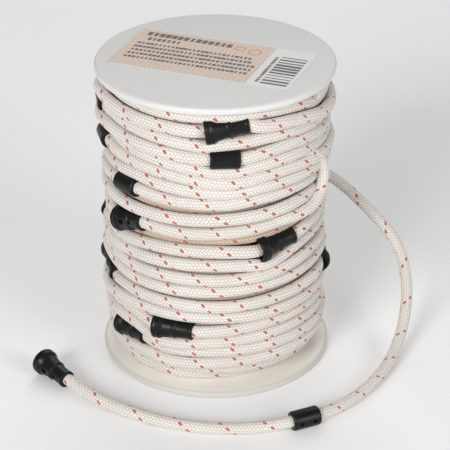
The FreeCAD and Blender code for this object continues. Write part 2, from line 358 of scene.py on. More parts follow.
@dataclass(frozen=True)
class GuillochePaper:
    """Tinted print of fine crossing waves on the label's panel."""

    name: str
    paper: tuple[float, float, float, float]
    ink: tuple[float, float, float, float]
    turn: float
    centre: tuple[float, float]

    def make(self) -> bpy.types.Material:
        """Build the material: two families of waves that cross on the tinted ground."""
        sheet = MaterialSheet(self.name)
        mapping = sheet.node("ShaderNodeMapping", vector_type="TEXTURE")
        sheet.feed(mapping, {"Vector": sheet.object_place(), "Location": (*self.centre, 0.0),
                             "Rotation": (0.0, 0.0, self.turn)})
        lines = []
        for direction, scale in (("X", 150.0), ("Y", 190.0)):
            wave = sheet.node("ShaderNodeTexWave", {
                "Vector": mapping.outputs[0], "Scale": scale, "Distortion": 7.0, "Detail Scale": 0.6},
                bands_direction=direction)
            lines.append(wave.outputs["Fac"])
        woven = sheet.maths("MULTIPLY", lines[0], lines[1])
        clouds = sheet.noise(mapping.outputs[0], 90.0, 3.0)
        share = sheet.maths("MULTIPLY", woven, sheet.spread(clouds, 0.35, 1.0))
        sheet.set_shader(Base_Color=sheet.mix(share, self.paper, self.ink), Roughness=0.5)
        return sheet.material


class Finishes:
    """Every finish of the reel, made once."""

    def __init__(self) -> None:
        """Make the materials."""
        # Painted light and shade: both flanges are one milky plastic. The top flange gets a darker copy
        # (painted shade on its top face, with a faintly lighter rim as a painted highlight). The bottom
        # flange gets a lighter copy (painted light, with its rim darkened as painted shade).
        self.upper = ReelPlastic("milky_plastic_upper_shaded_copy", (0.655, 0.652, 0.64, 1), (0.62, 0.612, 0.60, 1),
                                 (0.665, 0.66, 0.65, 1)).make()
        self.lower = ReelPlastic("milky_plastic_lower_lit_copy", (0.88, 0.85, 0.79, 1), (0.82, 0.78, 0.71, 1),
                                 (0.56, 0.54, 0.50, 1)).make()
        self.drum = ReelPlastic("milky_plastic_drum", (0.72, 0.70, 0.66, 1), (0.66, 0.63, 0.58, 1),
                                (0.72, 0.70, 0.66, 1)).make()
        self.nipple = NipplePlastic().make()
        self.braid = CordBraid("braid_on_the_reel").make()
        # Painted shade: the cord between and under the turns is the same white braid, made as darker copies
        # that stand in for the shade it lies in.
        self.nestled_braid_painted_shade = CordBraid(
            "braid_between_the_turns_painted_shade", thread=(0.72, 0.58, 0.46, 1), gap=(0.34, 0.24, 0.17, 1)).make()
        self.inner_braid_painted_shade = CordBraid(
            "braid_under_the_turns_painted_shade", thread=(0.30, 0.23, 0.17, 1), gap=(0.10, 0.07, 0.05, 1)).make()
        self.free_braid = CordBraid("braid_of_the_free_end").make()
        self.sheet = PlainPrint("label_film", (0.70, 0.70, 0.695, 1), (0.68, 0.68, 0.675, 1), 0.42).make()
        self.panel = GuillochePaper("label_panel", (0.655, 0.545, 0.46, 1), (0.60, 0.34, 0.24, 1),
                                    Label.turn, Label.centre).make()
        self.ink = PlainPrint("dark_ink", (0.055, 0.045, 0.04, 1), (0.10, 0.085, 0.075, 1)).make()
        self.mark = PlainPrint("tile_red_ink", (0.62, 0.20, 0.12, 1), (0.68, 0.28, 0.18, 1)).make()


# ---- mesh work -----------------------------------------------------------------------------
def linked(name: str, data: bpy.types.ID) -> bpy.types.Object:
    """Put a new object in the scene."""
    made = bpy.data.objects.new(name, data)
    bpy.context.scene.collection.objects.link(made)
    return made


def kept_mesh(name: str, work: bmesh.types.BMesh) -> bpy.types.Mesh:
    """Turn mesh work into a mesh, and free it."""
    mesh = bpy.data.meshes.new(name)
    work.to_mesh(mesh)
    work.free()
    return mesh


def add_object(name: str, mesh: bpy.types.Mesh, material: bpy.types.Material) -> bpy.types.Object:
    """Put a mesh in the scene, at the origin, with one material.

    Args:
        name: the object's name.
        mesh: its mesh, already in place.
        material: its finish.

    Returns:
        The new object.
    """
    mesh.materials.clear()
    mesh.materials.append(material)
    return linked(name, mesh)


def hand_in(piece: bpy.types.Object, slot: Slot, *nodes: str) -> bpy.types.Object:
    """Fix a piece to the reel, and hide the nodes that it stands for."""
    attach(piece, "root")
    if nodes:
        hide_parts(*nodes)
    stands_for = ", ".join(nodes) or "nothing"
    LOG.info("%s: %d faces, stands for %s", piece.name, len(piece.data.polygons), stands_for)
    return piece


def baked(made: bpy.types.Object) -> bpy.types.Object:
    """Turn an object's modifiers into its mesh.

    Args:
        made: an object with live modifiers.

    Returns:
        The same object with a plain mesh.
    """
    depsgraph = bpy.context.evaluated_depsgraph_get()
    mesh = bpy.data.meshes.new_from_object(made.evaluated_get(depsgraph))
    made.modifiers.clear()
    made.data = mesh
    return made


def rounded_outline(corners: list[tuple[float, float, float]], steps: int = 4) -> list[tuple[float, float]]:
    """Round the corners of a closed outline.

    Args:
        corners: points and the radius that each corner gets, 0 for a sharp one.
        steps: straight pieces in each rounding.

    Returns:
        The outline's points.
    """
    outline = []
    count = len(corners)
    for index, (x, y, radius) in enumerate(corners):
        corner = Vector((x, y))
        if radius <= 0:
            outline.append((x, y))
            continue
        back = Vector(corners[index - 1][:2]) - corner
        ahead = Vector(corners[(index + 1) % count][:2]) - corner
        half = back.angle(ahead) / 2
        reach = min(radius / math.tan(half), 0.48 * back.length, 0.48 * ahead.length)
        start, end = corner + back.normalized() * reach, corner + ahead.normalized() * reach
        for step in range(steps + 1):
            share = step / steps
            point = start.lerp(corner, share).lerp(corner.lerp(end, share), share)
            outline.append((point.x, point.y))
    return outline


def turned_solid(name: str, outline: list[tuple[float, float]], segments: int, axis: str) -> bpy.types.Mesh:
    """Turn a closed outline of (place along the axis, radius) round X or Z.

    Args:
        name: the mesh's name.
        outline: closed outline; a radius of 0 lies on the axis.
        segments: faces round the axis.
        axis: "X" or "Z".

    Returns:
        A closed mesh whose faces point outwards.
    """
    work = bmesh.new()
    rings = []
    for along, radius in outline:
        ring = []
        for step in range(segments if radius > 0 else 1):
            angle = 2 * math.pi * step / segments
            side, rise = radius * math.cos(angle), radius * math.sin(angle)
            ring.append(work.verts.new((along, side, rise) if axis == "X" else (side, rise, along)))
        rings.append(ring)
    for index, ring in enumerate(rings):
        other = rings[(index + 1) % len(rings)]
        for step in range(segments):
            corners = [ring[step % len(ring)], ring[(step + 1) % segments % len(ring)],
                       other[(step + 1) % segments % len(other)], other[step % len(other)]]
            unique = list(dict.fromkeys(corners))
            if len(unique) > 2:
                work.faces.new(unique)
    bmesh.ops.recalc_face_normals(work, faces=work.faces)
    return kept_mesh(name, work)


def smooth_by_angle(mesh: bpy.types.Mesh, degrees: float = 35.0) -> None:
    """Shade a mesh smooth, except at edges that turn by more than an angle."""
    mesh.shade_smooth()
    work = bmesh.new()
    work.from_mesh(mesh)
    for edge in work.edges:
        edge.smooth = len(edge.link_faces) == 2 and edge.calc_face_angle(0.0) < math.radians(degrees)
    work.to_mesh(mesh)
    work.free()


@dataclass
class CordTube:
    """A length of the braided cord as a mesh tube, with the braid's relief in its surface.

    Attributes:
        name: the mesh's name.
        line: points of the centre line, evenly spaced.
        side: a direction square to the line at each point, where the tube's seam lies.
        start: distance along the whole cord at the first point.
        flat: how much the cord is pressed flat along side, 0 for round.
    """

    name: str
    line: np.ndarray
    side: np.ndarray
    start: float = 0.0
    flat: float = 0.0
    sides: int = 36
    relief: float = 0.16 * MM
    pattern: BraidPattern = BraidPattern()

    def distances(self) -> np.ndarray:
        """Distance along the whole cord at each point."""
        steps = np.linalg.norm(np.diff(self.line, axis=0), axis=1)
        return self.start + np.concatenate([[0.0], np.cumsum(steps)])

    def pitches(self) -> np.ndarray:
        """Braid pitches run through at each point; handling has stretched the lay unevenly."""
        place = self.distances()
        return place / self.pattern.pitch + 0.30 * np.sin(place / 0.083) + 0.22 * np.sin(place / 0.031 + 1.0)

    def twist(self) -> np.ndarray:
        """How far the cover has rolled about the cord's own line at each point, in turns."""
        place = self.distances()
        return 0.45 * np.sin(place / 0.19 + 0.6) + 0.2 * np.sin(place / 0.057)

    def surface(self) -> np.ndarray:
        """Points of the tube's surface, one row for each point of the line."""
        tangent = np.gradient(self.line, axis=0)
        tangent /= np.linalg.norm(tangent, axis=1, keepdims=True)
        normal = self.side - tangent * np.sum(self.side * tangent, axis=1, keepdims=True)
        normal /= np.linalg.norm(normal, axis=1, keepdims=True)
        across = np.cross(tangent, normal)
        turn = np.arange(self.sides) / self.sides
        height = self.pattern.height(self.pitches()[:, None], self.twist()[:, None] + turn[None, :])
        radius = CORD_RADIUS - self.relief * (1.0 - height)
        out = radius * (1.0 - self.flat) * np.cos(2 * np.pi * turn)
        over = radius * (1.0 + self.flat) * np.sin(2 * np.pi * turn)
        return (self.line[:, None, :] + out[..., None] * normal[:, None, :]
                + over[..., None] * across[:, None, :])

    def mesh(self) -> bpy.types.Mesh:
        """Build the closed tube with its UV map: pitches along, turns round."""
        rings, sides = len(self.line), self.sides
        points = np.concatenate([self.surface().reshape(-1, 3), self.line[:1], self.line[-1:]])
        ring, step = np.meshgrid(np.arange(rings - 1), np.arange(sides), indexing="ij")
        following = (step + 1) % sides
        corners = np.stack([ring * sides + step, ring * sides + following,
                            (ring + 1) * sides + following, (ring + 1) * sides + step], -1)
        along, twist = self.pitches(), self.twist()
        u = np.stack([along[ring], along[ring], along[ring + 1], along[ring + 1]], -1)
        v = (np.stack([step, step + 1, step + 1, step], -1) / sides
             + np.stack([twist[ring], twist[ring], twist[ring + 1], twist[ring + 1]], -1))
        first_cap, last_cap = self.caps(rings, sides)
        loops = np.concatenate([corners.ravel(), first_cap.ravel(), last_cap.ravel()])
        starts = np.concatenate([np.arange(corners.size // 4) * 4, corners.size + np.arange(2 * sides) * 3])
        flat_uv = np.zeros((6 * sides, 2))
        flat_uv[:3 * sides, 0], flat_uv[3 * sides:, 0] = along[0], along[-1]
        uv = np.concatenate([np.stack([u.ravel(), v.ravel()], -1), flat_uv])
        mesh = bpy.data.meshes.new(self.name)
        mesh.vertices.add(len(points))
        mesh.vertices.foreach_set("co", points.astype(np.float32).ravel())
        mesh.loops.add(len(loops))
        mesh.loops.foreach_set("vertex_index", loops.astype(np.int32))
        mesh.polygons.add(len(starts))
        mesh.polygons.foreach_set("loop_start", starts.astype(np.int32))
        mesh.update(calc_edges=True)
        mesh.uv_layers.new(name="braid").data.foreach_set("uv", uv.astype(np.float32).ravel())
        mesh.shade_smooth()
        return mesh

    @staticmethod
    def caps(rings: int, sides: int) -> tuple[np.ndarray, np.ndarray]:
        """Triangles that close the tube's two ends."""
        step = np.arange(sides)
        following = (step + 1) % sides
        last = (rings - 1) * sides
        centre = np.full(sides, rings * sides)
        return (np.stack([centre, following, step], -1),
                np.stack([centre + 1, last + step, last + following], -1))


def evenly_spaced(line: np.ndarray, spacing: float) -> np.ndarray:
    """Points of a line at even distances.

    Args:
        line: points of the line.
        spacing: about the distance wanted between points.

    Returns:
        The new points, the line's two ends among them.
    """
    distance = np.concatenate([[0.0], np.cumsum(np.linalg.norm(np.diff(line, axis=0), axis=1))])
    wanted = np.linspace(0.0, distance[-1], max(2, int(distance[-1] / spacing)))
    return np.stack([np.interp(wanted, distance, line[:, axis]) for axis in range(3)], -1)


def blurred(values: np.ndarray, width: float) -> np.ndarray:
    """Smooth a row of numbers with a bell curve of a width in samples."""
    reach = int(3 * width) + 1
    kernel = np.exp(-0.5 * (np.arange(-reach, reach + 1) / width) ** 2)
    return np.convolve(np.pad(values, reach, mode="edge"), kernel / kernel.sum(), mode="valid")


def carried_side(line: np.ndarray, first: Vector) -> np.ndarray:
    """A direction square to a line, carried along it without twist."""
    tangent = np.gradient(line, axis=0)
    tangent /= np.linalg.norm(tangent, axis=1, keepdims=True)
    sides = [np.array(first)]
    for direction in tangent:
        side = sides[-1] - direction * np.dot(sides[-1], direction)
        sides.append(side / np.linalg.norm(side))
    return np.array(sides[1:])


# ---- nipples -------------------------------------------------------------------------------
@dataclass(frozen=True)
class NipplePlace:
    """Where a nipple lies in the outer layer.

    Attributes:
        node: the CAD node that it stands for.
        angle: degrees round the reel.
        height: height of its middle.
        rise: climb of its axis for each metre towards growing angle.
        eyes: degrees that its eyes are turned from outwards to upwards.
    """

    node: str
    angle: float
    height: float
    rise: float
    eyes: float

    @property
    def kind(self) -> NippleKind:
        """Bell or sleeve, from the node's name."""
        return NippleKind.BELL if self.node.startswith("bell") else NippleKind.SLEEVE


NIPPLE_PLACES = tuple(NipplePlace(node, angle, height * MM, *turned) for node, angle, height, *turned in (
    ("bell_front_top", -84, 118.4, 0.13, 160), ("bell_left_upper", -141.7, 71.0, 0.28, 0),
    ("bell_left_middle", -171, 41.5, -0.30, 0), ("bell_left_low", -142, 20.4, 0.05, 170),
    ("bell_front_low", -113, 28.5, 0.03, -45), ("bell_front_middle", -56, 65.5, 0.12, 165),
    ("bell_right_middle", -1, 42.5, 0.06, 0), ("bell_back_upper", 128, 98.0, 0.04, 20),
    ("bell_back_middle", 84, 52.0, -0.05, 0), ("bell_back_low", 150, 22.0, 0.04, -30),
    ("sleeve_front_upper", -85, 106.2, -0.02, 165), ("sleeve_left_top", -171, 115.0, -0.12, 180),
    ("sleeve_left_upper", -167, 100.5, 0.05, 180), ("sleeve_left_centre", -140.5, 87.8, 0.06, 160),
    ("sleeve_back_top", 96, 113.0, 0.04, 0), ("sleeve_back_right", 33, 92.0, -0.06, 30),
    ("sleeve_back_centre", 121, 72.0, 0.05, 0), ("sleeve_back_left", 170, 60.0, -0.04, -20),
    ("sleeve_back_low", 62, 19.2, 0.03, 0)))


@dataclass
class NippleMould:
    """Shape of one of the two mouldings, made along X with its wide end at -X and its eyes at +Z."""

    kind: NippleKind
    eye_middle: float = 4.2 * MM
    eye_depth: float = 4.4 * MM
    segments: int = 56

    @property
    def length(self) -> float:
        """Length of the moulding."""
        return (17.0 if self.kind is NippleKind.BELL else 11.6) * MM

    @property
    def axis_radius(self) -> float:
        """How far from the reel's axis the moulding's own axis lies."""
        return (41.8 if self.kind is NippleKind.BELL else 43.3) * MM

    @property
    def widest(self) -> float:
        """The moulding's greatest radius."""
        return (5.5 if self.kind is NippleKind.BELL else 3.9) * MM

    @property
    def narrow(self) -> float:
        """The moulding's radius towards its narrow end."""
        return 3.5 * MM if self.kind is NippleKind.BELL else self.widest

    def outline(self) -> list[tuple[float, float]]:
        """Half section: place along X and radius, in metres, round the bore and the outside."""
        if self.kind is NippleKind.BELL:
            corners = [
                (-6.2, 2.35, 0.3), (-8.5, 4.15, 0.25), (-8.5, 5.05, 0.45), (-7.5, 5.5, 0.5),
                (-6.5, 5.25, 0.25), (-5.6, 5.5, 0.45), (-4.9, 5.15, 0.5), (-3.9, 4.55, 0.8),
                (-0.2, 3.85, 0.8), (0.3, 4.05, 0.3), (1.3, 4.05, 0.3), (1.8, 3.5, 0.5),
                (6.9, 3.35, 0.6), (7.4, 3.6, 0.35), (8.3, 3.6, 0.35), (8.5, 3.1, 0.2), (8.5, 2.35, 0.2)]
        else:
            corners = [(-5.8, 2.35, 0.2), (-5.8, 3.55, 0.45), (-5.2, 3.9, 0.6),
                       (5.2, 3.9, 0.6), (5.8, 3.55, 0.45), (5.8, 2.35, 0.2)]
        return rounded_outline([(x * MM, r * MM, c * MM) for x, r, c in corners])

    def eyes(self) -> list[tuple[float, float, float]]:
        """Place along X, half length and half width of each eye."""
        if self.kind is NippleKind.BELL:
            return [(-2.2 * MM, 1.2 * MM, 0.85 * MM), (3.2 * MM, 1.3 * MM, 0.65 * MM)]
        return [(-2.8 * MM, 0.8 * MM, 0.8 * MM), (2.8 * MM, 0.8 * MM, 0.8 * MM)]

    def mesh(self) -> bpy.types.Mesh:
        """Build the moulding, with its eyes cut through the wall."""
        body = linked("mould", turned_solid("mould", self.outline(), self.segments, "X"))
        cutters = []
        for place, half_length, half_width in self.eyes():
            work = bmesh.new()
            bmesh.ops.create_cone(work, cap_ends=True, segments=20, radius1=1.0, radius2=1.0, depth=1.0)
            grow = Matrix.Diagonal((half_length, half_width, self.eye_depth, 1.0))
            put = Matrix.Translation((place, 0, self.eye_middle)) @ grow
            bmesh.ops.transform(work, matrix=put, verts=work.verts)
            cutter = linked("eye", kept_mesh("eye", work))
            cutters.append(cutter)
            cut = body.modifiers.new("eye", "BOOLEAN")
            cut.operation, cut.solver, cut.object = "DIFFERENCE", "EXACT", cutter
        baked(body)
        mesh = body.data
        for spare in (body, *cutters):
            bpy.data.objects.remove(spare)
        smooth_by_angle(mesh, 40.0)
        return mesh


class Nipples:
    """The mouldings on the cord: those in the winding, and the two on its free end."""

    def __init__(self, finishes: Finishes) -> None:
        """Make one mesh for each kind.

        Args:
            finishes: the reel's finishes.
        """
        self.finish = finishes.nipple
        self.moulds = {kind: NippleMould(kind) for kind in NippleKind}
        self.shapes = {kind: mould.mesh() for kind, mould in self.moulds.items()}

    def lay(self, node: str, kind: NippleKind, centre: Vector, along: Vector,
            outward: Vector) -> bpy.types.Object:
        """Put one moulding in place.

        Args:
            node: the CAD node that it stands for.
            kind: bell or sleeve.
            centre: its middle.
            along: direction from its wide to its narrow end.
            outward: direction that its eyes face.

        Returns:
            The piece.
        """
        along = along.normalized()
        upward = outward.cross(along).normalized()
        outward = along.cross(upward)
        turned = Matrix((along, upward, outward)).transposed().to_4x4()
        mesh = self.shapes[kind].copy()
        mesh.transform(Matrix.Translation(centre) @ turned)
        piece = add_object(node + "_moulding", mesh, self.finish)
        return hand_in(piece, Slot.NIPPLE, node)

    def lay_in_winding(self) -> None:
        """Put every nipple of the outer layer in place."""
        for place in NIPPLE_PLACES:
            angle = math.radians(place.angle)
            outward = Vector((math.cos(angle), math.sin(angle), 0))
            along = Vector((-math.sin(angle), math.cos(angle), place.rise))
            centre = outward * self.moulds[place.kind].axis_radius + Vector((0, 0, place.height))
            facing = Matrix.Rotation(-math.radians(place.eyes), 3, along.normalized()) @ outward
            self.lay(place.node, place.kind, centre, along, facing)


# ---- winding -------------------------------------------------------------------------------
# The outer layer's lay, in millimetres and turns counted from the top one. Turns lie closest
# under the flanges and widest apart round the middle, where they also climb across the front.
# They wander up and down at random, more so at the back, and bulge in and out.
TURNS = 22
TOP_TURN, LOWEST_TURN = 123.1, 5.4
FRONT_LEFT, FRONT_RIGHT = -150.0, -30.0
WIDENING, WIDEST_AT, WIDE_HALF = 0.38, 9.7, 4.5
CLIMB, CLIMB_AT, CLIMB_HALF = 6.4, 10.2, 3.0
FRONT_WANDER, BACK_WANDER = 0.35, 0.6
SLOW_BULGE, QUICK_BULGE = 1.15, 0.3


@dataclass
class OuterLayer:
    """The visible layer of cord: one long winding from the top flange to the bottom one.

    Angles along the winding keep growing, by 360 degrees a turn. The turns settle against each
    other and round the nipples, as cord that is wound by hand does.
    """

    centre_radius: float = 43.1 * MM
    grid: float = 2.5
    spacing: float = 0.34 * MM
    pressed: float = 0.055
    closest: float = 4.75 * MM
    settle_rounds: int = 90

    def __post_init__(self) -> None:
        """Lay the turns, settle them and keep their fine line."""
        first, last = -390.0, 360.0 * (TURNS - 1) + 150.0
        self.angles = np.arange(first, last, self.grid)
        self.per_turn = int(round(360.0 / self.grid))
        self.heights = self.laid_heights()
        self.pinned = np.zeros(len(self.angles), bool)
        self.radii = self.laid_radii()
        self.girth = np.full(len(self.angles), CORD_RADIUS)
        self.pin_nipples()
        self.settle()
        self.ride_over()

    def laid_heights(self) -> np.ndarray:
        """Heights before the turns settle: each turn crosses the front and drops behind the reel."""
        order = np.arange(TURNS)
        steps = 1.0 + WIDENING * np.exp(-((order[:-1] - WIDEST_AT) / WIDE_HALF) ** 2)
        down = np.concatenate([[0.0], np.cumsum(steps)]) / steps.sum()
        levels = TOP_TURN + (LOWEST_TURN - TOP_TURN) * down
        climbs = CLIMB * np.exp(-((order - CLIMB_AT) / CLIMB_HALF) ** 2)
        at, heights = [self.angles[0]], [TOP_TURN]
        for turn, level, climb in zip(order, levels, climbs):
            at.extend((360.0 * turn + FRONT_LEFT, 360.0 * turn + FRONT_RIGHT))
            heights.extend((level - climb / 2, level + climb / 2))
        at.append(self.angles[-1])
        heights.append(LOWEST_TURN)
        laid = blurred(np.interp(self.angles, at, heights), 3.0)
        away = np.clip(np.cos(np.radians(self.angles - 90.0)), 0.0, 1.0)
        return (laid + (FRONT_WANDER + BACK_WANDER * away) * self.wander(5, 26.0)) * MM

    def wander(self, seed: int, width: float) -> np.ndarray:
        """Smooth random numbers along the winding, about -1 to 1.

        Args:
            seed: which row of random numbers.
            width: how slowly they change, in degrees.

        Returns:
            One number for each angle.
        """
        raw = np.random.default_rng(SEED + seed).normal(size=len(self.angles))
        smooth = blurred(raw, width / self.grid)
        return smooth / (2.0 * smooth.std())

    def laid_radii(self) -> np.ndarray:
        """Radii before the turns settle: uneven, and set back on the lowest turns."""
        bulges = SLOW_BULGE * self.wander(1, 24.0) + QUICK_BULGE * self.wander(2, 8.0)
        uneven = self.centre_radius + bulges * MM
        turn = (self.angles + 180.0) / 360.0
        lowest = TURNS - 1
        set_back = np.interp(turn, (lowest - 1.25, lowest - 0.85, lowest - 0.1, lowest + 0.25, lowest + 2),
                             (0.0, 2.6, 2.9, 8.0, 9.5))
        first = np.interp(turn, (-1.0, 0.0, 0.6), (2.4, 1.6, 0.0))
        return uneven - (set_back + first) * MM

    def pin_nipples(self) -> None:
        """Hold the cord on each nipple's axis, and make it as thick as the nipple there."""
        for place in NIPPLE_PLACES:
            mould = NippleMould(place.kind)
            from_place = (self.angles - place.angle + 180.0) % 360.0 - 180.0
            passes = np.flatnonzero(np.abs(from_place) < self.grid / 2)
            owner = passes[np.argmin(np.abs(self.heights[passes] - place.height))]
            degrees = math.degrees(mould.length / 2 / mould.axis_radius)
            away = self.angles - self.angles[owner]
            held = np.abs(away) <= degrees + self.grid
            arc = np.radians(away) * mould.axis_radius
            self.heights[held] = (place.height + place.rise * arc)[held]
            self.radii[held] = mould.axis_radius / np.cos(np.radians(away[held]))
            self.pinned |= held
            inside = np.abs(away) <= degrees
            share = np.clip((away / degrees + 1.0) / 2.0, 0.0, 1.0)
            self.girth[inside] = (mould.widest + (mould.narrow - mould.widest) * share)[inside]

    def settle(self) -> None:
        """Push neighbouring turns apart until none is closer than the cord allows."""
        lap = self.per_turn
        low, high = FLANGE_THICKNESS + CORD_RADIUS, REEL_HEIGHT - FLANGE_THICKNESS - CORD_RADIUS
        free = ~self.pinned
        z = self.heights
        wide = np.maximum(self.girth, CORD_RADIUS)
        need = np.maximum(0.93 * (wide[:-lap] + wide[lap:]), self.closest)
        need[-lap // 2:] = 0.0
        for _ in range(self.settle_rounds):
            push = 0.45 * np.clip(need - (z[:-lap] - z[lap:]), 0.0, None)
            move = np.zeros_like(z)
            move[:-lap] += push
            move[lap:] -= push
            z = np.where(free, z + 0.5 * move, z)
            z = np.where(free, 0.55 * z + 0.45 * blurred(z, 1.2), z)
            z = np.clip(z, low, high)
        self.heights = z

    def ride_over(self) -> None:
        """Lift every other turn outwards where two neighbours are still too close in height."""
        lap = self.per_turn
        gap = np.abs(self.heights[:-lap] - self.heights[lap:])
        deep = np.sqrt(np.clip(CORD_DIAMETER ** 2 - gap ** 2, 0.0, None))
        lift = np.zeros(len(self.angles))
        lift[lap:] = deep
        lift[:-lap] = np.maximum(lift[:-lap], deep)
        turn = np.floor((self.angles + 180.0) / 360.0).astype(int)
        odd = np.where(turn % 2 == 1, 0.75, -0.15)
        lift = np.clip(blurred(lift * odd, 2.0), -0.6 * MM, 2.6 * MM)
        self.radii = np.where(self.pinned, self.radii, self.radii + lift)
        self.radii = np.where(self.pinned, self.radii, blurred(self.radii, 1.5))

    def line(self) -> np.ndarray:
        """Centre line of the whole winding at even, fine steps."""
        fine = np.arange(self.angles[0], self.angles[-1], 0.5)
        radius = blurred(np.interp(fine, self.angles, self.radii), 3.0)
        height = blurred(np.interp(fine, self.angles, self.heights), 3.0)
        angle = np.radians(fine)
        points = np.stack([radius * np.cos(angle), radius * np.sin(angle), height], -1)
        return evenly_spaced(points, self.spacing)

    def nestled_line(self) -> np.ndarray:
        """Centre line of the cord below, which lies in the hollows between neighbouring turns."""
        lap = self.per_turn
        gap = self.heights[:-lap] - self.heights[lap:]
        middle = (self.heights[:-lap] + self.heights[lap:]) / 2
        rest = np.sqrt(np.clip(CORD_DIAMETER ** 2 - (gap / 2) ** 2, (2.6 * MM) ** 2, None))
        base = (self.radii[:-lap] + self.radii[lap:]) / 2
        sunk = 3.2 * MM * np.clip(self.wander(7, 12.0)[:-lap] - 0.75, 0.0, 0.5) * 2.0
        radius = blurred(np.minimum(base - rest - sunk, 40.6 * MM), 3.0)
        angle = np.radians(self.angles[:-lap])
        points = np.stack([radius * np.cos(angle), radius * np.sin(angle), blurred(middle, 2.0)], -1)
        return evenly_spaced(points, 0.9 * MM)

    def build(self, finish: bpy.types.Material, nestled_finish: bpy.types.Material) -> None:
        """Build the winding in lengths of about two turns, each in place of one CAD ring.

        Args:
            finish: the braid's material.
            nestled_finish: the material of the cord that shows between two turns, the braid painted darker as
                shade.
        """
        below = self.nestled_line()
        hidden = CordTube("nestled_turns", below, -below * np.array([1.0, 1.0, 0.0]), sides=14, relief=0.0)
        hand_in(add_object(hidden.name, hidden.mesh(), nestled_finish), Slot.INNER_BRAID)
        line = self.line()
        rings = sorted((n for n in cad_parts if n.startswith("winding_outer_")), reverse=True)
        cuts = np.linspace(0, len(line) - 1, len(rings) + 1).astype(int)
        spacing = float(np.linalg.norm(line[1] - line[0]))
        for number, ring in enumerate(rings):
            part = line[cuts[number]:cuts[number + 1] + 1]
            side = -part * np.array([1.0, 1.0, 0.0])
            tube = CordTube(f"wound_length_{number + 1:02d}", part, side,
                            start=cuts[number] * spacing, flat=self.pressed)
            hand_in(add_object(tube.name, tube.mesh(), finish), Slot.BRAID, ring)


@dataclass
class LooseTurn:
    """A slack stretch of cord that has slipped over its neighbours on the right of the reel."""

    route: tuple[tuple[float, float, float], ...] = (
        (-76.0, 37.5, 72.6), (-66.0, 40.6, 74.6), (-56.0, 43.8, 76.2), (-46.0, 45.6, 76.6),
        (-36.0, 46.6, 77.6), (-28.0, 46.8, 80.6), (-24.0, 46.6, 85.4), (-23.5, 46.2, 91.0),
        (-27.0, 45.4, 96.6), (-35.0, 43.6, 100.4), (-46.0, 41.0, 102.0), (-60.0, 37.5, 102.4))

    def build(self, finish: bpy.types.Material) -> None:
        """Build the stretch; both its ends dive under the turns beside it."""
        corners = [(r * MM * math.cos(math.radians(a)), r * MM * math.sin(math.radians(a)), z * MM)
                   for a, r, z in self.route]
        line = evenly_spaced(spline_points(corners, "loose_line"), 0.34 * MM)
        tube = CordTube("loose_turn", line, carried_side(line, Vector((-1, 0.6, 0))), start=0.004)
        hand_in(add_object(tube.name, tube.mesh(), finish), Slot.BRAID)


def spline_points(corners: list[tuple[float, float, float]], name: str) -> np.ndarray:
    """Points of the smooth line that a row of control points pulls along.

    Args:
        corners: control points, in metres.
        name: name of the curve while it is made.

    Returns:
        Points of the line, the first and last control points among them.
    """
    curve = bpy.data.curves.new(name, "CURVE")
    curve.dimensions = "3D"
    curve.resolution_u = 24
    spline = curve.splines.new("NURBS")
    spline.points.add(len(corners) - 1)
    for point, corner in zip(spline.points, corners):
        point.co = (*corner, 1.0)
    spline.order_u = 3
    spline.use_endpoint_u = True
    holder = linked(name, curve)
    mesh = bpy.data.meshes.new_from_object(holder)
    points = np.array([vertex.co[:] for vertex in mesh.vertices])
    bpy.data.objects.remove(holder)
    return points


# ---- the layers under the turns --------------------------------------------------------------
class GrowthTree(NodeWork):
    """A Geometry Nodes tree being put together from named sizes and a finish."""

    def __init__(self, name: str, numbers: str, counts: str = "") -> None:
        """Start a tree.

        Args:
            name: the tree's name.
            numbers: names of its number inputs, with commas between them.
            counts: names of its whole-number inputs, in the same way.
        """
        super().__init__(bpy.data.node_groups.new(name, "GeometryNodeTree"))
        kinds = {"NodeSocketInt": counts, "NodeSocketFloat": numbers, "NodeSocketMaterial": "Finish"}
        self.tree.interface.new_socket("Geometry", in_out="OUTPUT", socket_type="NodeSocketGeometry")
        for kind, names in kinds.items():
            for size in filter(None, names.split(", ")):
                self.tree.interface.new_socket(size, in_out="INPUT", socket_type=kind)
        self.sizes = self.tree.nodes.new("NodeGroupInput").outputs

    def captured(self, geometry: bpy.types.NodeSocket, field_name: str) -> bpy.types.Node:
        """Keep the spline's running length or factor on the curve's points."""
        running = self.node("GeometryNodeSplineParameter")
        keep = self.node("GeometryNodeCaptureAttribute")
        keep.capture_items.new("FLOAT", field_name)
        self.feed(keep, {"Geometry": geometry, 1: running.outputs[field_name]})
        return keep

    def finished(self, geometry: bpy.types.NodeSocket) -> bpy.types.NodeTree:
        """End the tree in Realize Instances and Set Material."""
        realize = self.node("GeometryNodeRealizeInstances", {"Geometry": geometry})
        paint = self.node("GeometryNodeSetMaterial", {"Geometry": realize.outputs[0],
                                                      "Material": self.sizes["Finish"]})
        self.node("NodeGroupOutput", {0: paint.outputs[0]})
        return self.tree


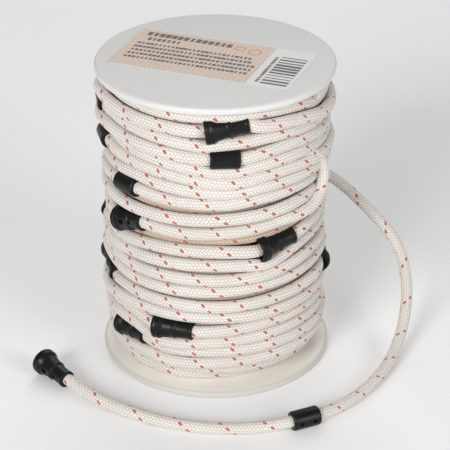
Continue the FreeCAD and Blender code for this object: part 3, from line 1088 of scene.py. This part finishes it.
def coil_tree() -> bpy.types.NodeTree:
    """Tree that winds a plain coil of cord round the reel's axis."""
    growth = GrowthTree("coil_of_cord", "Turns, Coil Radius, Height, Base, Cord Radius, Pitch")
    sizes, node = growth.sizes, growth.node
    spiral = node("GeometryNodeCurveSpiral", {
        "Resolution": 110, "Rotations": sizes["Turns"], "Start Radius": sizes["Coil Radius"],
        "End Radius": sizes["Coil Radius"], "Height": sizes["Height"]})
    raised = node("GeometryNodeTransform", {
        "Geometry": spiral.outputs["Curve"], "Translation": growth.vector(Z=sizes["Base"])})
    length = growth.captured(raised.outputs["Geometry"], "Length")
    section = node("GeometryNodeCurvePrimitiveCircle", {"Resolution": 12, "Radius": sizes["Cord Radius"]})
    turn = growth.captured(section.outputs["Curve"], "Factor")
    tube = node("GeometryNodeCurveToMesh", {
        "Fill Caps": True, "Curve": length.outputs["Geometry"], "Profile Curve": turn.outputs["Geometry"]})
    pitches = growth.maths("DIVIDE", length.outputs[1], sizes["Pitch"])
    store = node("GeometryNodeStoreNamedAttribute", data_type="FLOAT2", domain="CORNER")
    growth.feed(store, {"Name": "braid", "Geometry": tube.outputs["Mesh"],
                        "Value": growth.vector(X=pitches, Y=turn.outputs[1])})
    smooth = node("GeometryNodeSetShadeSmooth", {"Geometry": store.outputs["Geometry"]})
    return growth.finished(smooth.outputs["Geometry"])


def grown(name: str, tree: bpy.types.NodeTree, sizes: dict[str, object]) -> bpy.types.Object:
    """Run a Geometry Nodes tree on an empty mesh and keep its result as a plain mesh.

    Args:
        name: the new object's name.
        tree: the tree to run.
        sizes: values for the tree's named inputs.

    Returns:
        The object with its plain mesh.
    """
    made = linked(name, bpy.data.meshes.new(name))
    modifier = made.modifiers.new("grow", "NODES")
    modifier.node_group = tree
    for item in tree.interface.items_tree:
        if item.in_out == "INPUT" and item.name in sizes:
            modifier[item.identifier] = sizes[item.name]
    return baked(made)


@dataclass
class InnerLayers:
    """The cord under the visible turns, seen only where two turns part; its finish is the braid painted dark
    as shade.
    """

    radius: float = 35.4 * MM
    foot_radius: float = 30.5 * MM
    foot_height: float = 15.5 * MM
    lay_pitch: float = 5.05 * MM

    def build(self, finish: bpy.types.Material) -> None:
        """Wind the layer under the turns, and a smaller coil under the lowest turns."""
        tree = coil_tree()
        top = REEL_HEIGHT - FLANGE_THICKNESS - CORD_RADIUS
        low = FLANGE_THICKNESS + CORD_RADIUS
        coils = (("under_layer", self.radius, self.foot_height, top, ("winding_inner",)),
                 ("under_layer_foot", self.foot_radius, low, self.foot_height, ()))
        for name, radius, base, end, nodes in coils:
            coil = grown(name, tree, {
                "Turns": (end - base) / self.lay_pitch, "Coil Radius": radius, "Height": end - base,
                "Base": base, "Cord Radius": CORD_RADIUS, "Pitch": BraidPattern().pitch, "Finish": finish})
            hand_in(coil, Slot.INNER_BRAID, *nodes)


# ---- reel ----------------------------------------------------------------------------------
def rib_tree() -> bpy.types.NodeTree:
    """Tree that stands a ring of plain ribs round the reel's axis."""
    growth = GrowthTree("foot_ribs", "Inner, Outer, Width, Depth", "Count")
    sizes, node, maths = growth.sizes, growth.node, growth.maths
    middle = maths("MULTIPLY", maths("ADD", sizes["Inner"], sizes["Outer"]), 0.5)
    length = maths("SUBTRACT", sizes["Outer"], sizes["Inner"])
    circle = node("GeometryNodeMeshCircle", {"Vertices": sizes["Count"], "Radius": middle})
    block = node("GeometryNodeMeshCube", {
        "Size": growth.vector(X=length, Y=sizes["Width"], Z=sizes["Depth"])})
    here = node("GeometryNodeInputPosition")
    turn = node("FunctionNodeAlignRotationToVector", {"Vector": here.outputs[0]}, axis="X")
    stand = node("GeometryNodeInstanceOnPoints", {
        "Points": circle.outputs["Mesh"], "Instance": block.outputs["Mesh"], "Rotation": turn.outputs[0]})
    lift = node("GeometryNodeTransform", {
        "Geometry": stand.outputs[0], "Translation": growth.vector(Z=maths("MULTIPLY", sizes["Depth"], 0.5))})
    return growth.finished(lift.outputs["Geometry"])


@dataclass
class Reel:
    """The two flanges; the drum between them keeps its CAD shape."""

    edge: float = 1.35 * MM
    hub_radius: float = 11.0 * MM
    hub_height: float = 12.0 * MM
    spindle_radius: float = 8.0 * MM
    collar_outer: float = 17.9 * MM
    collar_wall: float = 1.8 * MM
    collar_height: float = 6.0 * MM
    foot_inner: float = 13.5 * MM
    foot_outer: float = 42.5 * MM
    foot_depth: float = 1.0 * MM
    rib_width: float = 2.0 * MM
    rib_bite: float = 0.2 * MM
    ribs: int = 6
    segments: int = 160

    def lower_outline(self) -> list[tuple[float, float]]:
        """Half section of the bottom flange: hub, collar, plate, rounded rim and foot recess."""
        plate, fine = FLANGE_THICKNESS, 0.3 * MM
        corners = [
            (0.0, self.spindle_radius, fine), (0.0, self.foot_inner, fine),
            (self.foot_depth, self.foot_inner + fine, fine), (self.foot_depth, self.foot_outer - fine, fine),
            (0.0, self.foot_outer, fine), (0.0, FLANGE_RADIUS, self.edge),
            (plate, FLANGE_RADIUS, self.edge), (plate, self.collar_outer, fine),
            (plate + self.collar_height, self.collar_outer, fine),
            (plate + self.collar_height, self.collar_outer - self.collar_wall, fine),
            (plate, self.collar_outer - self.collar_wall, fine), (plate, self.hub_radius, fine),
            (self.hub_height, self.hub_radius, fine), (self.hub_height, self.spindle_radius, fine)]
        return rounded_outline(corners, 6)

    def upper_outline(self) -> list[tuple[float, float]]:
        """Half section of the top flange: closed plate with a rounded rim and a collar below."""
        top, low, fine = REEL_HEIGHT, REEL_HEIGHT - FLANGE_THICKNESS, 0.3 * MM
        corners = [
            (low, 0.0, 0.0), (low, self.collar_outer - self.collar_wall, fine),
            (low - self.collar_height, self.collar_outer - self.collar_wall, fine),
            (low - self.collar_height, self.collar_outer, fine), (low, self.collar_outer, fine),
            (low, FLANGE_RADIUS, self.edge), (top, FLANGE_RADIUS, self.edge), (top, 0.0, 0.0)]
        return rounded_outline(corners, 6)

    def build(self, finishes: Finishes) -> None:
        """Build both flanges and the foot's ribs, and dress the drum."""
        for name, outline, finish, slot in (
                ("bottom_flange", self.lower_outline(), finishes.lower, Slot.LOWER),
                ("top_flange", self.upper_outline(), finishes.upper, Slot.UPPER)):
            mesh = turned_solid(name + "_plate", outline, self.segments, "Z")
            smooth_by_angle(mesh)
            hand_in(add_object(name + "_plate", mesh, finish), slot, name)
        ribs = grown("foot_ribs", rib_tree(), {
            "Count": self.ribs, "Inner": self.foot_inner, "Outer": self.foot_outer,
            "Width": self.rib_width, "Depth": self.foot_depth + self.rib_bite, "Finish": finishes.lower})
        hand_in(ribs, Slot.LOWER)
        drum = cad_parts["drum_tube"]
        drum.data.materials.clear()
        drum.data.materials.append(finishes.drum)


# ---- label ---------------------------------------------------------------------------------
def bar_row_tree() -> bpy.types.NodeTree:
    """Tree for a row of flat printed bars of uneven length and spacing."""
    growth = GrowthTree("printed_bars", "Row Length, Bar, Tall, Thick, Least", "Count, Seed")
    sizes, node = growth.sizes, growth.node
    row = node("GeometryNodeMeshLine", {
        "Count": sizes["Count"], "Offset": growth.vector(X=sizes["Row Length"])}, mode="END_POINTS")
    block = node("GeometryNodeMeshCube", {
        "Size": growth.vector(X=sizes["Bar"], Y=sizes["Tall"], Z=sizes["Thick"])})
    uneven = node("FunctionNodeRandomValue", {2: sizes["Least"], 3: 1.0, "Seed": sizes["Seed"]},
                  data_type="FLOAT")
    stand = node("GeometryNodeInstanceOnPoints", {
        "Points": row.outputs["Mesh"], "Instance": block.outputs["Mesh"],
        "Scale": growth.vector(X=uneven.outputs[1], Y=1.0, Z=1.0)})
    return growth.finished(stand.outputs[0])


@dataclass
class Label:
    """Clear film on the top flange with a tinted panel, rows of plain bars and two plain marks."""

    width: float = 75.0 * MM
    height: float = 37.0 * MM
    film: float = 0.12 * MM
    corner: float = 2.0 * MM
    ink_depth: float = 0.03 * MM
    panel_width: float = 57.6 * MM
    panel_middle: float = -8.6 * MM
    turn = math.radians(-21.0)
    centre = (-1.1 * MM, 0.0)

    def placed(self, height: float) -> Matrix:
        """Matrix from the label's own place and turn to the reel, at a height above the flange."""
        return Matrix.Translation((*self.centre, REEL_HEIGHT + height)) @ Matrix.Rotation(self.turn, 4, "Z")

    def plate(self, name: str, size: tuple[float, float], middle: float, low: float, high: float,
              finish: bpy.types.Material, corner: float) -> bpy.types.Object:
        """A thin sheet with rounded corners.

        Args:
            name: the object's name.
            size: its width and height.
            middle: its middle along the label.
            low: its underside above the flange.
            high: its top above the flange.
            finish: its material.
            corner: radius of its corners.

        Returns:
            The sheet, in place.
        """
        half_w, half_h = size[0] / 2, size[1] / 2
        outline = rounded_outline([
            (middle - half_w, -half_h, corner), (middle + half_w, -half_h, corner),
            (middle + half_w, half_h, corner), (middle - half_w, half_h, corner)], 6)
        work = bmesh.new()
        face = work.faces.new([work.verts.new((x, y, 0)) for x, y in outline])
        rim = bmesh.ops.extrude_face_region(work, geom=[face])
        lifted = [item for item in rim["geom"] if isinstance(item, bmesh.types.BMVert)]
        bmesh.ops.translate(work, verts=lifted, vec=(0, 0, high - low))
        bmesh.ops.recalc_face_normals(work, faces=work.faces)
        mesh = kept_mesh(name, work)
        mesh.transform(self.placed(low))
        return add_object(name, mesh, finish)

    def bars(self, name: str, tree: bpy.types.NodeTree, place: Matrix, sizes: dict[str, object]) -> None:
        """One row of bars, placed on the label."""
        row = grown(name, tree, sizes | {"Thick": 2 * self.ink_depth})
        row.data.transform(self.placed(self.film + self.ink_depth) @ place)
        hand_in(row, Slot.LABEL)

    def ring(self, name: str, x: float, y: float, radius: float, finish: bpy.types.Material) -> None:
        """A plain printed ring."""
        band = 0.32 * MM
        outline = [(0.0, radius - band), (0.0, radius + band), (self.ink_depth, radius + band),
                   (self.ink_depth, radius - band)]
        mesh = turned_solid(name, outline, 40, "Z")
        mesh.transform(self.placed(self.film + self.ink_depth) @ Matrix.Translation((x, y, 0)))
        hand_in(add_object(name, mesh, finish), Slot.LABEL)

    def build(self, finishes: Finishes) -> None:
        """Build the film, the panel, the rows of bars and the marks."""
        film = self.plate("label_film", (self.width, self.height), 0.0, 0.0, self.film,
                          finishes.sheet, self.corner)
        hand_in(film, Slot.LABEL, "label")
        panel = self.plate("label_panel", (self.panel_width, self.height - 0.4 * MM), self.panel_middle,
                           self.film - self.ink_depth, self.film + self.ink_depth, finishes.panel, 0.5 * MM)
        hand_in(panel, Slot.LABEL)
        tree = bar_row_tree()
        rows = (("heading_bars", -32.4, 14.4, 34.4, 14, 3.5, -0.02),
                ("line_1", -30.6, 9.4, 12.4, 7, 2.7, 0.0),
                ("line_2", -33.0, 4.4, 47.0, 27, 1.75, 0.0), ("line_3", -33.0, 0.9, 48.0, 28, 1.75, 0.0),
                ("line_4", -33.0, -2.6, 50.5, 29, 1.75, 0.0), ("line_5", -33.0, -6.1, 50.5, 29, 1.75, 0.0),
                ("line_6", -33.0, -9.6, 50.0, 29, 1.75, 0.0))
        for number, (name, x, y, length, count, tall, tilt) in enumerate(rows):
            place = Matrix.Translation((x * MM, y * MM, 0)) @ Matrix.Rotation(tilt, 4, "Z")
            self.bars(name, tree, place, {
                "Count": count, "Row Length": length * MM, "Bar": length / count * MM,
                "Tall": tall * MM, "Least": 0.45, "Seed": SEED + number, "Finish": finishes.ink})
        upright = Matrix.Rotation(math.pi / 2, 4, "Z")
        for name, x, y, length, count, bar, tall, least in (
                ("bar_stack", 30.6, -15.2, 25.6, 11, 1.8, 10.6, 0.25),
                ("bar_stack_caption", 23.6, -14.6, 24.0, 16, 1.3, 1.3, 0.5)):
            place = Matrix.Translation((x * MM, y * MM, 0)) @ upright
            self.bars(name, tree, place, {
                "Count": count, "Row Length": length * MM, "Bar": bar * MM, "Tall": tall * MM,
                "Least": least, "Seed": SEED + 40, "Finish": finishes.ink})
        self.ring("round_mark_left", 7.0 * MM, 12.4 * MM, 2.0 * MM, finishes.mark)
        self.ring("round_mark_right", 13.6 * MM, 11.0 * MM, 2.5 * MM, finishes.mark)


# ---- free end ------------------------------------------------------------------------------
@dataclass
class FreeEnd:
    """The cord's free end: out of the winding at the back right, down, and round the front."""

    route: tuple[tuple[float, float, float], ...] = (
        (14.0, 41.0, 69.5), (33.0, 36.5, 67.0), (50.5, 33.0, 60.0), (65.5, 28.0, 47.0),
        (78.5, 20.0, 34.5), (82.0, 8.0, 20.5), (79.0, -8.0, 8.5), (72.0, -25.0, 2.8),
        (62.5, -42.0, 2.45), (50.0, -56.5, 2.8), (35.5, -67.0, 4.6), (16.0, -71.5, 2.8),
        (-8.5, -70.5, 2.45), (-32.0, -62.0, 2.8), (-54.0, -47.0, 3.7), (-70.0, -29.0, 5.7))
    sleeve_corner: int = 10
    mouth: float = 2.2 * MM
    length: float = 0.312

    def build(self, finishes: Finishes, nipples: Nipples) -> None:
        """Build the cord on its smooth line, with the sleeve and the last bell on it.

        Args:
            finishes: the reel's finishes.
            nipples: the maker of the two mouldings.
        """
        corners = [tuple(value * MM for value in point) for point in self.route]
        line = evenly_spaced(spline_points(corners, "free_line"), 0.34 * MM)
        side = carried_side(line, Vector((0, 0, -1)))
        tube = CordTube("free_braided_cord", line, side)
        piece = hand_in(add_object(tube.name, tube.mesh(), finishes.free_braid), Slot.FREE_BRAID, "free_cord")
        corner = np.array(corners[self.sleeve_corner])
        nearest = int(np.argmin(np.linalg.norm(line - corner, axis=1)))
        along = Vector(line[nearest + 8] - line[nearest - 8])
        middle = Vector(line[nearest])
        sleeve = nipples.lay("free_sleeve", NippleKind.SLEEVE, middle, along, self.away(middle, along))
        outward = (Vector(corners[-1]) - Vector(corners[-2])).normalized()
        half = nipples.moulds[NippleKind.BELL].length / 2
        middle = Vector(corners[-1]) + outward * (self.mouth - half)
        bell = nipples.lay("free_bell", NippleKind.BELL, middle, -outward, self.away(middle, outward))

    @staticmethod
    def away(middle: Vector, along: Vector) -> Vector:
        """Direction square to a moulding's axis that points away from the reel."""
        level, axis = Vector((middle.x, middle.y, 0)), along.normalized()
        return (level - axis * level.dot(axis)).normalized()


# ---- studio --------------------------------------------------------------------------------
@dataclass
class Studio:
    """Pale floor, soft lights and the camera."""

    aim_x: float = 3.80 * MM
    aim_height: float = 54.21 * MM
    distance: float = 682.6 * MM
    elevation: float = math.radians(28.8)
    lens: float = 132.3
    floor_half: float = 15.0
    floor_glow: float = 0.12

    def camera(self) -> None:
        """Make the camera in front of the reel, looking down at it."""
        data = bpy.data.cameras.new("camera")
        data.lens, data.sensor_width = self.lens, 36.0
        data.clip_start, data.clip_end = 0.01, 80.0
        camera = linked("camera", data)
        camera.location = (self.aim_x, -self.distance * math.cos(self.elevation),
                           self.aim_height + self.distance * math.sin(self.elevation))
        camera.rotation_euler = (math.pi / 2 - self.elevation, 0.0, 0.0)
        bpy.context.scene.camera = camera

    def floor(self) -> None:
        """Make the pale floor."""
        work = bmesh.new()
        bmesh.ops.create_grid(work, x_segments=1, y_segments=1, size=self.floor_half)
        sheet = MaterialSheet("pale_floor")
        sheet.set_shader(Base_Color=(0.8, 0.8, 0.8, 1), Roughness=0.9, Specular_IOR_Level=0.1)
        sheet.set_shader(Emission_Color=(1, 1, 1, 1), Emission_Strength=self.floor_glow)
        add_object("floor", kept_mesh("floor", work), sheet.material)

    def area_light(self, name: str, place: tuple[float, float, float], size: float, power: float) -> None:
        """A square soft light that faces the reel's middle."""
        data = bpy.data.lights.new(name, "AREA")
        data.size, data.energy = size, power
        light = linked(name, data)
        light.location = place
        light.rotation_euler = (Vector((0, 0, 0.06)) - Vector(place)).to_track_quat("-Z", "Y").to_euler()

    def lights(self) -> None:
        """Make the lights and the pale surroundings."""
        self.area_light("key", (-0.75, -1.4, 0.8), 0.6, 22.0)
        self.area_light("fill", (1.25, -1.15, 0.7), 0.8, 13.5)
        self.area_light("back", (0.1, 1.2, 1.1), 1.0, 8.0)
        world = bpy.data.worlds.new("pale_room")
        world.use_nodes = True
        world.node_tree.nodes["Background"].inputs["Color"].default_value = (1.0, 1.0, 1.0, 1)
        world.node_tree.nodes["Background"].inputs["Strength"].default_value = 0.24
        bpy.context.scene.world = world
        bpy.context.scene.view_settings.view_transform = "Standard"

    def build(self) -> None:
        """Make the camera, the floor and the lights."""
        self.camera()
        self.floor()
        self.lights()


def main() -> None:
    """Build the reel from its camera and cords to its label."""
    logging.basicConfig(level=logging.INFO, format="%(name)s: %(message)s")
    Studio().build()
    finishes = Finishes()
    nipples = Nipples(finishes)
    FreeEnd().build(finishes, nipples)
    OuterLayer().build(finishes.braid, finishes.nestled_braid_painted_shade)
    LooseTurn().build(finishes.braid)
    InnerLayers().build(finishes.inner_braid_painted_shade)
    nipples.lay_in_winding()
    Reel().build(finishes)
    Label().build(finishes)


if __name__ == "__main__":
    main()
